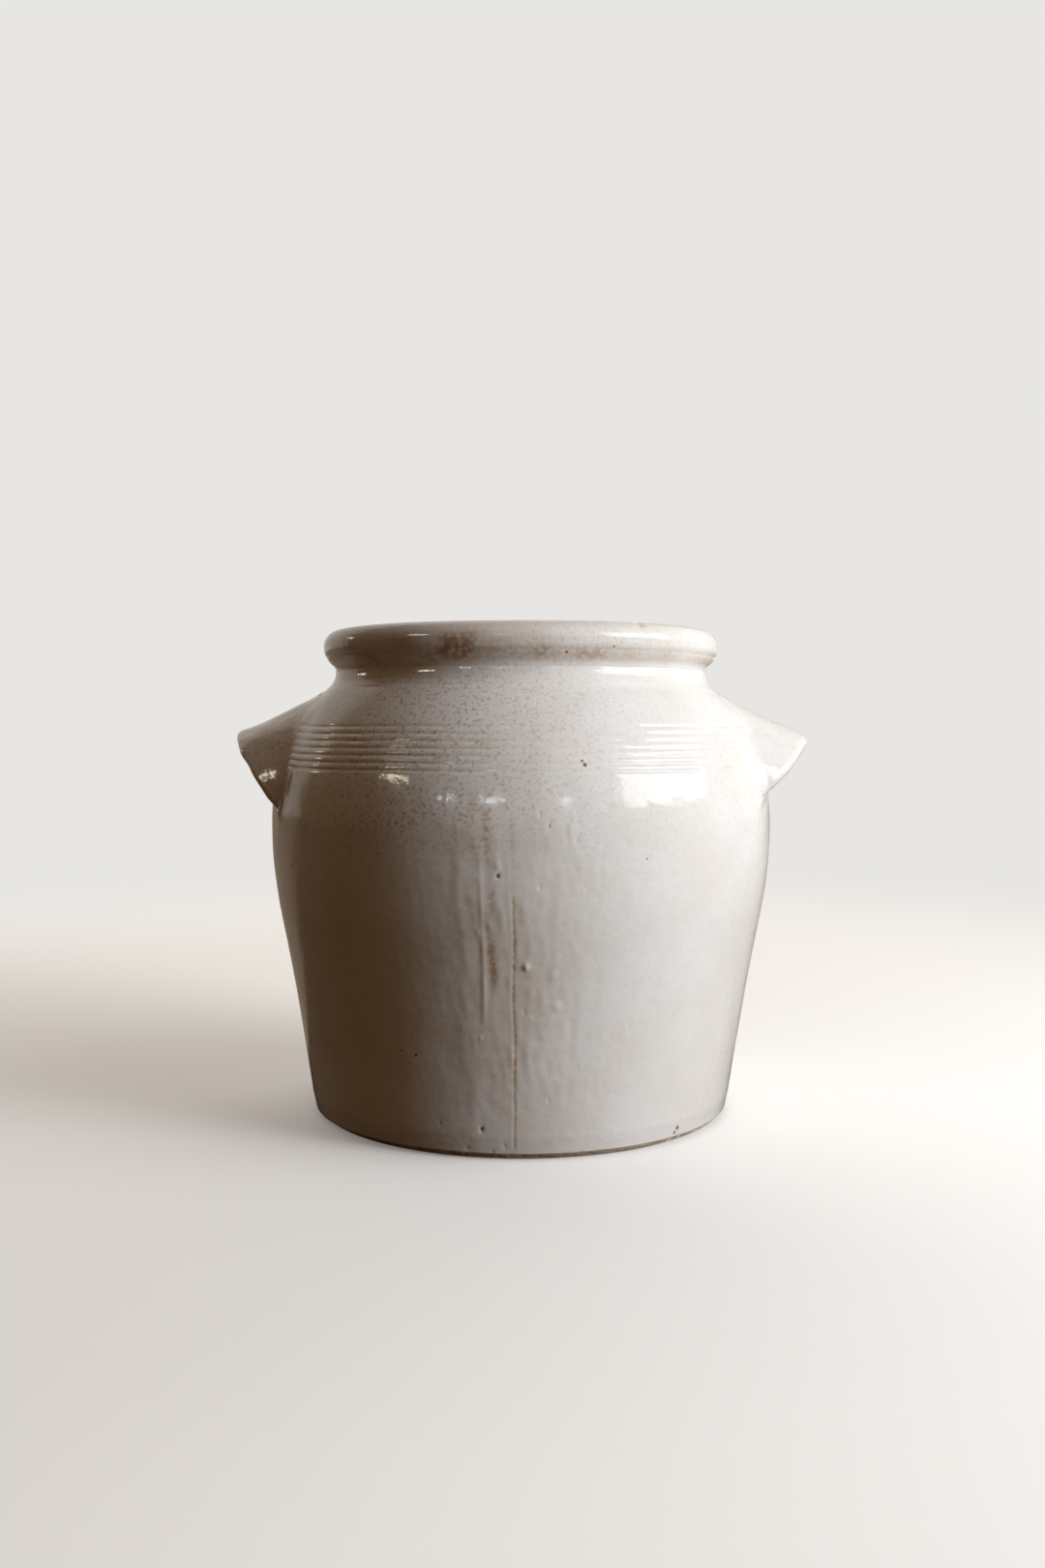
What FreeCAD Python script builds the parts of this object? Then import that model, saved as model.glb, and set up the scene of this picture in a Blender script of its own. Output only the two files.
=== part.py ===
"""Open stoneware preserving pot with a rolled rim and two hooded ears, glazed inside and out.

The pot stands on its foot at height 0 with its axis on Z, and the ears point along +X and -X.
Lengths are millimetres and angles degrees.  In every section, x is the radius and y the height.
"""
import FreeCAD, Part
import math
import os

import Sketcher

# Driving sizes: name, value, meaning
SIZES = (
    ("foot_radius", 124.6, "outside of the foot, above its bevel"),
    ("foot_bevel", 3.0, "bare bevel round the foot, where the glaze stops"),
    ("floor_thickness", 13.0, "floor disc, from the table up"),
    ("foot_flare", 2.3, "how much wider the floor disc is at its top than at the bevel"),
    ("wall_thickness", 11.0, "clay wall, measured along the radius"),
    ("cove_radius", 14.0, "rounded corner between wall and floor, inside"),
    ("flank_drop", 56.0, "from the widest height down to where the flank runs out straight"),
    ("flank_inset", 5.5, "how much narrower the flank is there than the belly"),
    ("belly_radius", 151.6, "widest clay radius"),
    ("belly_height", 176.0, "height of the widest clay"),
    ("neck_radius", 113.3, "narrowest clay radius, under the rim"),
    ("neck_height", 265.2, "height of the narrowest clay, where the rim collar is joined"),
    ("neck_hollow", 13.6, "radius of the hollow curve between shoulder and neck"),
    ("rim_radius", 120.8, "widest clay radius of the rim"),
    ("rim_rise", 15.3, "from the neck up to the widest height of the rim"),
    ("rim_hollow", 5.6, "radius of the hollow curve between neck and rim"),
    ("rim_roll", 8.9, "radius of the rolled top of the rim"),
    ("glaze_thickness", 0.6, "glaze coat, inside and outside"),
    ("groove_count", 7, "turned grooves round the shoulder"),
    ("groove_height", 208.5, "height of the lowest groove"),
    ("groove_pitch", 3.95, "height from one groove to the next"),
    ("groove_round", 1.2, "radius of the tool that turned the grooves"),
    ("groove_depth", 0.8, "depth of a groove in the clay"),
    ("left_ear_out", 139.2, "middle of the left ear's mouth, out from the pot's axis"),
    ("left_ear_height", 181.0, "middle of the left ear's mouth, up from the table"),
    ("left_ear_tilt", 51.3, "slope of the left ear's mouth against the table"),
    ("left_ear_radius", 58.8, "outside of the left ear's hood at its mouth"),
    ("left_ear_drop", 46.8, "how far its root circle's middle lies below its mouth's"),
    ("right_ear_out", 131.9, "the same five for the right ear, made by hand and a little flatter"),
    ("right_ear_height", 183.2, "middle of the right ear's mouth, up from the table"),
    ("right_ear_tilt", 42.6, "slope of the right ear's mouth against the table"),
    ("right_ear_radius", 61.7, "outside of the right ear's hood at its mouth"),
    ("right_ear_drop", 54.5, "how far its root circle's middle lies below its mouth's"),
    ("ear_root_depth", 70.0, "from an ear's mouth back to its root circle, inside the pot"),
    ("ear_root_radius", 87.8, "outside of an ear's hood, carried back to its root circle"),
    ("ear_thickness", 10.0, "clay of an ear's hood"),
    ("ear_lip_round", 3.0, "rounding of both edges of an ear's lip"),
)

# A fillet may take at most this share of the wall whose edge it rounds
FILLET_SHARE = 0.3

# A hood's circles start at their low side, so that its seam lies inside the pot
SEAM_INSIDE = FreeCAD.Rotation(FreeCAD.Vector(0, 0, 1), 180)

# Two vertices nearer than this are one corner of a section
SAME_PLACE = 1e-6

# Expressions that several pieces share
RIM_MIDDLE = "sizes.neck_height + sizes.rim_rise"
CREST_RADIUS = "sizes.rim_radius - sizes.rim_roll"
WALL_BASE = "sizes.foot_radius + sizes.foot_flare"
GLAZE = "sizes.glaze_thickness"
INWARD = "-sizes.wall_thickness"
GROOVE_REACH = "sizes.groove_round - sizes.groove_depth"

document = FreeCAD.newDocument("preserving_pot")
sheet = document.addObject("Spreadsheet::Sheet", "sizes")
for row, (alias, value, meaning) in enumerate(SIZES, start=1):
    sheet.set(f"A{row}", meaning)
    sheet.set(f"B{row}", str(value))
    sheet.setAlias(f"B{row}", alias)
document.recompute()


def total(*terms):
    """One expression that adds up several; a term of 0 is left out."""
    kept = [f"({term})" for term in terms if term != "0"]
    return " + ".join(kept) if kept else "0"


def less(term):
    """The expression with its sign turned."""
    return "0" if term == "0" else f"-({term})"


def new_body(name):
    body = document.addObject("PartDesign::Body", name)
    body.Label = name
    return body


def new_sketch(body, name, role):
    """A sketch on one of the body's own origin planes."""
    sketch = body.newObject("Sketcher::SketchObject", name)
    plane = next(item for item in body.Origin.OriginFeatures if item.Role == role)
    sketch.AttachmentSupport = [(plane, "")]
    sketch.MapMode = "FlatFace"
    return sketch


def level_centre(first, second, height):
    """Centre, at a known height, of the arc through two places."""
    rises = first[1] - height, second[1] - height
    squares = first[0] ** 2 + rises[0] ** 2 - second[0] ** 2 - rises[1] ** 2
    return squares / (2 * (first[0] - second[0])), height


def leading_centre(start, end, next_centre):
    """Centre of the arc from start to end that runs on smoothly into an arc about next_centre."""
    reach = math.dist(end, next_centre)
    normal = [(next_centre[axis] - end[axis]) / reach for axis in (0, 1)]
    chord = [start[axis] - end[axis] for axis in (0, 1)]
    along = chord[0] * normal[0] + chord[1] * normal[1]
    distance = (chord[0] ** 2 + chord[1] ** 2) / (2 * along)
    return end[0] + distance * normal[0], end[1] + distance * normal[1]


class Section:
    """Half of a turned piece's cross-section, with every corner held by expressions.

    A point is a pair of expressions, a place is its present pair of numbers, and a vertex is
    the number of an edge with 1 or 2 for its start or end.
    """

    def __init__(self, body, name):
        self.body = body
        self.sketch = new_sketch(body, f"{name}_section", "YZ_Plane")
        self.corners = []

    def number(self, text):
        return float(self.sketch.evalExpression(text))

    def place(self, point):
        return self.number(point[0]), self.number(point[1])

    def tie(self, kind, items, text):
        """Add a measured constraint whose value is an expression."""
        index = self.sketch.addConstraint(Sketcher.Constraint(kind, *items, self.number(text)))
        self.sketch.setExpression(f"Constraints[{index}]", text)

    def line(self, start, end):
        """A straight edge between two points."""
        places = [FreeCAD.Vector(*self.place(point), 0) for point in (start, end)]
        edge = self.sketch.addGeometry(Part.LineSegment(*places), False)
        self.corners += [((edge, 1), start), ((edge, 2), end)]

    def lines(self, *points):
        for start, end in zip(points, points[1:]):
            self.line(start, end)

    def arc(self, start, end, centre, construction=False):
        """The shorter arc between two places about a centre; returns its two vertices."""
        spokes = [(place[0] - centre[0], place[1] - centre[1]) for place in (start, end)]
        angles = [math.atan2(spoke[1], spoke[0]) for spoke in spokes]
        forward = spokes[0][0] * spokes[1][1] > spokes[0][1] * spokes[1][0]
        axis = FreeCAD.Vector(0, 0, 1)
        circle = Part.Circle(FreeCAD.Vector(*centre, 0), axis, math.dist(start, centre))
        angles = angles if forward else angles[::-1]
        edge = self.sketch.addGeometry(Part.ArcOfCircle(circle, *angles), construction)
        return ((edge, 1), (edge, 2)) if forward else ((edge, 2), (edge, 1))

    def level_arc(self, start, end, height):
        """An arc between two points with its centre at a height; returns its first vertex."""
        places = self.place(start), self.place(end)
        vertices = self.arc(*places, level_centre(*places, self.number(height)))
        self.corners += [(vertices[0], start), (vertices[1], end)]
        self.tie("DistanceY", (-1, 1, vertices[0][0], 3), height)
        return vertices[0]

    def flank(self, base, middle, belly):
        """Up the flank: an easy arc that runs on into one which stands upright at the belly."""
        places = [self.place(point) for point in (base, middle, belly)]
        upper_centre = level_centre(places[1], places[2], places[2][1])
        upper_start = self.level_arc(middle, belly, belly[1])
        lower_centre = leading_centre(places[0], places[1], upper_centre)
        lower = self.arc(places[0], places[1], lower_centre)
        self.corners.append((lower[0], base))
        self.sketch.addConstraint(Sketcher.Constraint("Tangent", *lower[1], *upper_start))

    def sway(self, wide, narrow, hollow, construction=False):
        """A full arc, upright at the wide point, that runs on into a hollow arc of a known radius,
        upright at the narrow point; returns the number of the full arc."""
        widest, narrowest = self.place(wide), self.place(narrow)
        hollow_radius = self.number(hollow)
        spread = widest[0] - narrowest[0] - hollow_radius
        squares = spread ** 2 + (narrowest[1] - widest[1]) ** 2 - hollow_radius ** 2
        full_radius = squares / (2 * (hollow_radius + spread))
        full_centre = (widest[0] - full_radius, widest[1])
        hollow_centre = (narrowest[0] + hollow_radius, narrowest[1])
        share = full_radius / (full_radius + hollow_radius)
        meeting = [a + (b - a) * share for a, b in zip(full_centre, hollow_centre)]
        full = self.arc(widest, meeting, full_centre, construction)
        bend = self.arc(meeting, narrowest, hollow_centre, construction)
        self.corners += [(full[0], wide), (bend[1], narrow)]
        self.tie("DistanceY", (-1, 1, full[0][0], 3), wide[1])
        self.tie("DistanceY", (-1, 1, bend[0][0], 3), narrow[1])
        self.tie("Radius", (bend[0][0],), hollow)
        self.sketch.addConstraint(Sketcher.Constraint("Tangent", *full[1], *bend[0]))
        return full[0][0]

    def join_corners(self):
        """Make vertices that lie together one corner, and hold each corner at its point."""
        corners = []
        for vertex, point in self.corners:
            place = self.place(point)
            same = [corner for corner in corners if math.dist(corner[0], place) < SAME_PLACE]
            if same:
                self.sketch.addConstraint(Sketcher.Constraint("Coincident", *same[0][1], *vertex))
                continue
            corners.append((place, vertex))
            for kind, axis, text in (("DistanceX", -2, point[0]), ("DistanceY", -1, point[1])):
                if text == "0":
                    self.sketch.addConstraint(Sketcher.Constraint("PointOnObject", *vertex, axis))
                else:
                    self.tie(kind, (-1, 1) + vertex, text)

    def turn(self, kind, name):
        """Spin the finished section round the axis, as a solid or as a cut."""
        self.join_corners()
        feature = self.body.newObject(kind, name)
        feature.Profile = self.sketch
        feature.ReferenceAxis = (self.sketch, ["V_Axis"])
        feature.Angle = 360
        self.body.Tip = feature
        document.recompute()


# Points of the section; grow is how far they lie outside the clay's outer face


def bevel_point(grow="0"):
    return total("sizes.foot_radius", grow), "sizes.foot_bevel"


def base_point(grow="0", lift="0"):
    return total(WALL_BASE, grow), total("sizes.floor_thickness", lift)


def flank_point(grow="0"):
    radius = total("sizes.belly_radius - sizes.flank_inset", grow)
    return radius, "sizes.belly_height - sizes.flank_drop"


def belly_point(grow="0"):
    return total("sizes.belly_radius", grow), "sizes.belly_height"


def neck_point(grow="0"):
    return total("sizes.neck_radius", grow), "sizes.neck_height"


def rim_point(grow="0"):
    return total("sizes.rim_radius", grow), RIM_MIDDLE


def crest_point(coat="0"):
    return CREST_RADIUS, total(RIM_MIDDLE, "sizes.rim_roll", coat)


def mouth_point(coat="0"):
    return total("sizes.rim_radius - 2 * sizes.rim_roll", less(coat)), RIM_MIDDLE


def draw_side(section, grow="0", base=None):
    """Flank and shoulder, from the wall's base up to the neck."""
    section.flank(base or base_point(grow), flank_point(grow), belly_point(grow))
    section.sway(belly_point(grow), neck_point(grow), total("sizes.neck_hollow", less(grow)))


def draw_rim_outside(section, grow="0"):
    """The rim's outside, from the neck up to its crest."""
    section.sway(rim_point(grow), neck_point(grow), total("sizes.rim_hollow", less(grow)))
    section.level_arc(rim_point(grow), crest_point(grow), RIM_MIDDLE)


def draw_rim_inside(section, coat="0"):
    """The mouth, from the crest down to the neck; coat is the glaze on it."""
    section.level_arc(crest_point(coat), mouth_point(coat), RIM_MIDDLE)
    section.line(mouth_point(coat), neck_point(total(INWARD, less(coat))))


def draw_hollow(section, coat="0"):
    """Inside of the wall, from the neck down to the cove's foot; returns the point at that foot."""
    grow = total(INWARD, less(coat))
    cove_top = base_point(grow, "sizes.cove_radius")
    cove_foot = (f"{WALL_BASE} - sizes.wall_thickness - sizes.cove_radius", base_point("0", coat)[1])
    draw_side(section, grow, cove_top)
    section.level_arc(cove_foot, cove_top, cove_top[1])
    return cove_foot


def cut_grooves(body, name, grow="0"):
    """Turned grooves round the shoulder: rings whose middles follow the shoulder's curve."""
    section = Section(body, name)
    reach = total(GROOVE_REACH, grow)
    ends = [belly_point(reach), neck_point(reach)]
    hollow = total("sizes.neck_hollow", less(reach))
    shoulder = section.sway(*ends, hollow, construction=True)
    widest, narrowest = [section.place(point) for point in ends]
    for number in range(int(sheet.get("groove_count"))):
        height = f"sizes.groove_height + {number} * sizes.groove_pitch"
        share = (section.number(height) - widest[1]) / (narrowest[1] - widest[1])
        middle = widest[0] + (narrowest[0] - widest[0]) * share ** 2, section.number(height)
        axis = FreeCAD.Vector(0, 0, 1)
        circle = Part.Circle(FreeCAD.Vector(*middle, 0), axis, sheet.get("groove_round"))
        ring = section.sketch.addGeometry(circle, False)
        section.sketch.addConstraint(Sketcher.Constraint("PointOnObject", ring, 3, shoulder))
        section.tie("DistanceY", (-1, 1, ring, 3), height)
        section.tie("Radius", (ring,), "sizes.groove_round")
    volume = body.Shape.Volume
    section.turn("PartDesign::Groove", f"{name}_cut")
    if not body.Shape.Volume < volume:
        raise RuntimeError(f"{name} cut nothing")


def make_base_disc():
    """Flat floor disc with a bevelled foot; the wall stands on its top."""
    body = new_body("base_disc")
    section = Section(body, "base_disc")
    underside = ("0", "0"), ("sizes.foot_radius - sizes.foot_bevel", "0")
    top = ("0", base_point()[1])
    section.lines(*underside, bevel_point(), base_point(), top, ("0", "0"))
    section.turn("PartDesign::Revolution", "base_disc_turned")
    return body


def make_body_wall():
    """Wall, shoulder and neck, with its cove clay inside and the grooves round its shoulder."""
    body = new_body("body_wall")
    section = Section(body, "body_wall")
    draw_side(section)
    cove_foot = draw_hollow(section)
    section.line(cove_foot, base_point())
    section.line(neck_point(), neck_point(INWARD))
    section.turn("PartDesign::Revolution", "body_wall_turned")
    cut_grooves(body, "body_wall_grooves")
    return body


def make_rim_collar():
    """Rolled collar that stands on the neck."""
    body = new_body("rim_collar")
    section = Section(body, "rim_collar")
    draw_rim_outside(section)
    draw_rim_inside(section)
    section.line(neck_point(), neck_point(INWARD))
    section.turn("PartDesign::Revolution", "rim_collar_turned")
    return body


def make_inner_glaze():
    """Glaze coat on the whole inside, from the crest down to the middle of the floor."""
    body = new_body("inner_glaze")
    section = Section(body, "inner_glaze")
    for coat in ("0", GLAZE):
        draw_rim_inside(section, coat)
        cove_foot = draw_hollow(section, coat)
        section.line(cove_foot, ("0", cove_foot[1]))
    section.line(crest_point(), crest_point(GLAZE))
    section.line(("0", base_point()[1]), ("0", base_point("0", GLAZE)[1]))
    section.turn("PartDesign::Revolution", "inner_glaze_turned")
    return body


def make_form(name, grow, corners):
    """The pot's outside as a filled shape; corners run from the crest over the axis to the base."""
    body = new_body(name)
    section = Section(body, name)
    draw_side(section, grow)
    draw_rim_outside(section, grow)
    section.lines(*corners)
    section.turn("PartDesign::Revolution", f"{name}_turned")
    cut_grooves(body, f"{name}_grooves", grow)
    return body


def make_ear_hood(name, grow, ear, side):
    """Hood of one ear, carried on into the pot: a leaning cone, hollowed, with a rounded lip.

    Its own Z runs from the mouth back into the pot and its X up along the mouth.  The mouth's
    circle and the hollow's grow and shrink by the glaze.
    """
    body = new_body(name)
    for stage, kind, change in (
        ("outside", "PartDesign::AdditiveLoft", grow),
        ("hollow", "PartDesign::SubtractiveLoft", total("-sizes.ear_thickness", less(grow))),
    ):
        rings = []
        for ring_name, depth, drop, radius in (
            ("mouth", less(grow), "0", f"sizes.{ear}_radius"),
            ("root", "sizes.ear_root_depth", f"-sizes.{ear}_drop", "sizes.ear_root_radius"),
        ):
            ring = new_sketch(body, f"{name}_{stage}_{ring_name}", "XY_Plane")
            ring.AttachmentOffset = FreeCAD.Placement(FreeCAD.Vector(), SEAM_INSIDE)
            ring.setExpression("AttachmentOffset.Base.x", total(drop))
            ring.setExpression("AttachmentOffset.Base.z", total(depth))
            length = total(radius, change)
            number = float(ring.evalExpression(length))
            circle = Part.Circle(FreeCAD.Vector(0, 0, 0), FreeCAD.Vector(0, 0, 1), number)
            ring.addGeometry(circle, False)
            ring.addConstraint(Sketcher.Constraint("Coincident", 0, 3, -1, 1))
            index = ring.addConstraint(Sketcher.Constraint("Radius", 0, number))
            ring.setExpression(f"Constraints[{index}]", length)
            rings.append(ring)
        loft = body.newObject(kind, f"{name}_{stage}")
        loft.Profile = rings[0]
        loft.Sections = [rings[1]]
        loft.Ruled = True
        body.Tip = loft
        document.recompute()
    lip_level = -float(body.evalExpression(total(grow)))
    lip_edges = [
        f"Edge{number}"
        for number, edge in enumerate(loft.Shape.Edges, start=1)
        if all(abs(vertex.Z - lip_level) < SAME_PLACE for vertex in edge.Vertexes)
    ]
    lip = body.newObject("PartDesign::Fillet", f"{name}_lip")
    lip.Base = (loft, lip_edges)
    lip.setExpression("Radius", f"min(sizes.ear_lip_round; {FILLET_SHARE} * sizes.ear_thickness)")
    body.Tip = lip
    heading = 0 if side > 0 else 180
    where = f"vector({side} * sizes.{ear}_out; 0; sizes.{ear}_height)"
    turned = f"rotation({heading}; -sizes.{ear}_tilt; 0)"
    body.setExpression("Placement", f"placement({where}; {turned})")
    document.recompute()
    return body


def fuse(name, *pieces):
    fused = document.addObject("Part::MultiFuse", name)
    fused.Shapes = list(pieces)
    document.recompute()
    return fused


def cut(name, base, tool):
    """What is left of a base when a tool is taken out of it."""
    piece = document.addObject("Part::Cut", name)
    piece.Base = base
    piece.Tool = tool
    piece.Label = name
    document.recompute()
    return piece


EARS = {"right_ear": 1, "left_ear": -1}

nodes = [make_base_disc(), make_body_wall(), make_rim_collar(), make_inner_glaze()]

axis_top = ("0", crest_point()[1])
clay_corners = (
    crest_point(),
    axis_top,
    ("0", "0"),
    ("sizes.foot_radius - sizes.foot_bevel", "0"),
    bevel_point(),
    base_point(),
)
clay_form = make_form("clay_form", "0", clay_corners)
glaze_corners = (
    crest_point(GLAZE),
    (CREST_RADIUS, "sizes.neck_height"),
    ("0", "sizes.neck_height"),
    ("0", "sizes.foot_bevel"),
    bevel_point(GLAZE),
    base_point(GLAZE),
)
glaze_form = make_form("glaze_form", GLAZE, glaze_corners)

hoods = [make_ear_hood(f"{ear}_hood", "0", ear, side) for ear, side in EARS.items()]
coats = [make_ear_hood(f"{ear}_coat", GLAZE, ear, side) for ear, side in EARS.items()]
nodes += [cut(ear, hood, clay_form) for ear, hood in zip(EARS, hoods)]

coated_pot = fuse("coated_pot", glaze_form, *coats)
bare_pot = fuse("bare_pot", clay_form, *hoods)
nodes.append(cut("outer_glaze", coated_pot, bare_pot))

faults = []
for item in document.Objects:
    if "Invalid" in item.State or "Error" in item.State:
        faults.append(f"{item.Name}: {item.State}")
for node in nodes:
    if node.Shape.isNull() or not node.Shape.isValid():
        faults.append(f"{node.Label}: no valid shape")
if faults:
    raise RuntimeError("; ".join(faults))

os.makedirs("parts", exist_ok=True)
for node in nodes:
    node.Shape.exportStep(f"parts/{node.Label}.step")
    box = node.Shape.BoundBox
    print(f"{node.Label}: {len(node.Shape.Solids)} solid, {node.Shape.Volume / 1000:.1f} cm3, "
          f"x {box.XMin:.1f} to {box.XMax:.1f}, z {box.ZMin:.1f} to {box.ZMax:.1f}")
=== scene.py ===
"""Looks of an old stoneware preserving pot with a rolled rim and two hooded ears.

Every piece is a mesh made here from formulas.  Lengths are millimetres, and meshes are written in
metres.  Z is up, the ears lie along X and the camera looks along +Y.  A bearing is an angle round
the axis, 0 at the front and positive towards the right.
"""
import math

import bpy
import numpy as np
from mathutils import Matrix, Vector


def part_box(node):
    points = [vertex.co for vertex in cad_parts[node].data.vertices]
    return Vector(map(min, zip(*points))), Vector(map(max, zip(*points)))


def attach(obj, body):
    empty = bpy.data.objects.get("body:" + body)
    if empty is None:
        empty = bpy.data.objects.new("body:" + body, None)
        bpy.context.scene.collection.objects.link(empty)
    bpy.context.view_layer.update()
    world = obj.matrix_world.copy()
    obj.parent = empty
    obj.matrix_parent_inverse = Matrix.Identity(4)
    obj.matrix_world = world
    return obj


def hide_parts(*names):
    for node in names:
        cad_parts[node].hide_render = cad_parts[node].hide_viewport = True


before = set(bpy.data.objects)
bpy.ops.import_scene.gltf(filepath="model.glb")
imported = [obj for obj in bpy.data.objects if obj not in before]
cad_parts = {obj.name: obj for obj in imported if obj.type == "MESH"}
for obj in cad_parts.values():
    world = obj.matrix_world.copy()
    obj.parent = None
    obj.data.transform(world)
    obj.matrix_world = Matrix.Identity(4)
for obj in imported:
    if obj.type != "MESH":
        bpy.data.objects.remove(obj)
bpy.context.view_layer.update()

MM = 0.001

# The camera, as measured in the photograph in its own pixels, and where it stands
PICTURE_WIDTH = 1080
PICTURE_HEIGHT = 1620
FOCAL_PIXELS = 1480.0
HORIZON_ROW = 750.5
AXIS_COLUMN = 538.5
CAMERA_DISTANCE = 890.0
CAMERA_HEIGHT = 232.0
SENSOR = 36.0


def box_mm(node):
    """Lowest and highest corner of a CAD node."""
    low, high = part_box(node)
    return [value / MM for value in low], [value / MM for value in high]


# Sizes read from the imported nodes; the outline below is the outside of the glaze
GLAZE = 0.6
FLOOR_TOP = box_mm("base_disc")[1][2]
BASE_RADIUS = box_mm("base_disc")[1][0] + GLAZE
BELLY_RADIUS = box_mm("outer_glaze")[1][1]
TOP = box_mm("outer_glaze")[1][2]
NECK_HEIGHT = box_mm("rim_collar")[0][2]
RIM_RADIUS = box_mm("rim_collar")[1][0] + GLAZE

# The other sizes of the outline
FOOT_BEVEL = 3.0
FOOT_RADIUS = 124.6
WALL = 11.0
COVE = 14.0
BELLY_HEIGHT = 176.0
FLANK_DROP = 56.0
FLANK_INSET = 5.5
NECK_RADIUS = 113.3 + GLAZE
NECK_HOLLOW = 13.6 - GLAZE
RIM_ROLL = 8.9 + GLAZE
RIM_HOLLOW = 5.6 - GLAZE
RIM_MIDDLE = TOP - RIM_ROLL
AXIS_HOLE = 0.4

# Distances between the points of the outline, and where they are finer: from, to, distance
OUTSIDE_GAP = 1.3
OUTSIDE_FINER = ((0, 12, 0.6), (204, 236, 0.32), (252, 261, 0.45), (263, 300, 0.45))
INSIDE_GAP = 3.0
INSIDE_FINER = ((0, FLOOR_TOP + COVE + 2, 1.0), (262, 300, 0.6))
FLOOR_GAP = 3.5
BEVEL_GAP = 0.7
# Distance between the points of a line that hasn't been resampled yet
DRAWN_STEP = 0.4

# The columns of the turned surface: half the angle of the fine front, its step, and those behind
FRONT = 1.12
FRONT_STEP = 0.0046
BACK_COLUMNS = 330

# Turned grooves round the shoulder
GROOVE_HEIGHTS = [208.5 + 3.95 * number for number in range(7)]
GROOVE_DEPTH = 0.43
GROOVE_HALF_WIDTH = 0.95
FILLED_GROOVES_BEARING = 0.06

# The ears: side, mouth's middle out and up, slope, mouth radius, drop of the root circle, lip's
# height at the tip, strength of the speckle
EARS = {
    "left_ear": (-1, 139.2, 181.0, 51.3, 58.8, 46.8, 5.0, 0.45),
    "right_ear": (1, 131.9, 183.2, 42.6, 61.7, 54.5, 9.0, 0.12),
}
EAR_ROOT_LIP = 3.0
EAR_ROOT_DEPTH = 70.0
EAR_ROOT_RADIUS = 87.8
EAR_THICKNESS = 10.0 + 2 * GLAZE
EAR_LIP_SQUARENESS = 2.2
EAR_BLEND = 6.0
EAR_BURIED = 3.0

# The rows over an ear's outside, round its lip and in its hollow, and the columns across it
EAR_ROWS = 60
LIP_ROWS = 30
HOLLOW_ROWS = 30
EAR_COLUMNS = 240


# Outline

def arc(start, end, centre):
    """Points from start round to end about a centre, the shorter way."""
    first, last = [math.atan2(place[1] - centre[1], place[0] - centre[0]) for place in (start, end)]
    turn = (last - first + math.pi) % (2 * math.pi) - math.pi
    radius = math.dist(start, centre)
    angles = first + turn * np.linspace(0, 1, max(4, int(abs(turn) * radius / DRAWN_STEP)))
    return np.stack([centre[0] + radius * np.cos(angles), centre[1] + radius * np.sin(angles)], axis=1)


def level_centre(first, second, height):
    """Centre, at a known height, of the arc through two places."""
    rises = first[1] - height, second[1] - height
    squares = first[0] ** 2 + rises[0] ** 2 - second[0] ** 2 - rises[1] ** 2
    return squares / (2 * (first[0] - second[0])), height


def leading_centre(start, end, next_centre):
    """Centre of the arc from start to end that runs on smoothly into an arc about next_centre."""
    reach = math.dist(end, next_centre)
    normal = [(next_centre[axis] - end[axis]) / reach for axis in (0, 1)]
    chord = [start[axis] - end[axis] for axis in (0, 1)]
    along = chord[0] * normal[0] + chord[1] * normal[1]
    distance = (chord[0] ** 2 + chord[1] ** 2) / (2 * along)
    return end[0] + distance * normal[0], end[1] + distance * normal[1]


def sway(wide, narrow, hollow):
    """A full arc, upright at the wide place, that runs on into a hollow one, upright at the narrow."""
    spread = wide[0] - narrow[0] - hollow
    squares = spread ** 2 + (narrow[1] - wide[1]) ** 2 - hollow ** 2
    full = squares / (2 * (hollow + spread))
    full_centre = (wide[0] - full, wide[1])
    hollow_centre = (narrow[0] + hollow, narrow[1])
    share = full / (full + hollow)
    meeting = [a + (b - a) * share for a, b in zip(full_centre, hollow_centre)]
    return np.vstack([arc(wide, meeting, full_centre), arc(meeting, narrow, hollow_centre)[1:]])


def straight(start, end):
    share = np.linspace(0, 1, max(2, int(math.dist(start, end) / DRAWN_STEP)))[:, None]
    return np.array(start) * (1 - share) + np.array(end) * share


def chain(*lines):
    """Lines that follow each other, as one."""
    return np.vstack([lines[0]] + [line[1:] for line in lines[1:]])


def side_line(inset, base):
    """Flank and shoulder up to the neck; inset is how far inside the glaze's outside it runs."""
    flank = (BELLY_RADIUS - FLANK_INSET - inset, BELLY_HEIGHT - FLANK_DROP)
    belly = (BELLY_RADIUS - inset, BELLY_HEIGHT)
    upper_centre = level_centre(flank, belly, BELLY_HEIGHT)
    lower_centre = leading_centre(base, flank, upper_centre)
    neck = (NECK_RADIUS - inset, NECK_HEIGHT)
    return chain(
        arc(base, flank, lower_centre),
        arc(flank, belly, upper_centre),
        sway(belly, neck, NECK_HOLLOW + inset),
    )


def resample(line, gap, finer=()):
    """The same line with its points a gap apart, and closer between the heights in finer."""
    lengths = np.hypot(*np.diff(line, axis=0).T)
    along = np.concatenate([[0], np.cumsum(lengths)])
    middles = (line[1:, 1] + line[:-1, 1]) / 2
    gaps = np.full_like(middles, gap)
    for low, high, fine_gap in finer:
        gaps[(middles > low) & (middles < high)] = fine_gap
    steps = np.concatenate([[0], np.cumsum(lengths / gaps)])
    places = np.interp(np.linspace(0, steps[-1], int(steps[-1]) + 2), steps, along)
    return np.stack([np.interp(places, along, line[:, axis]) for axis in (0, 1)], axis=1)


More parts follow.
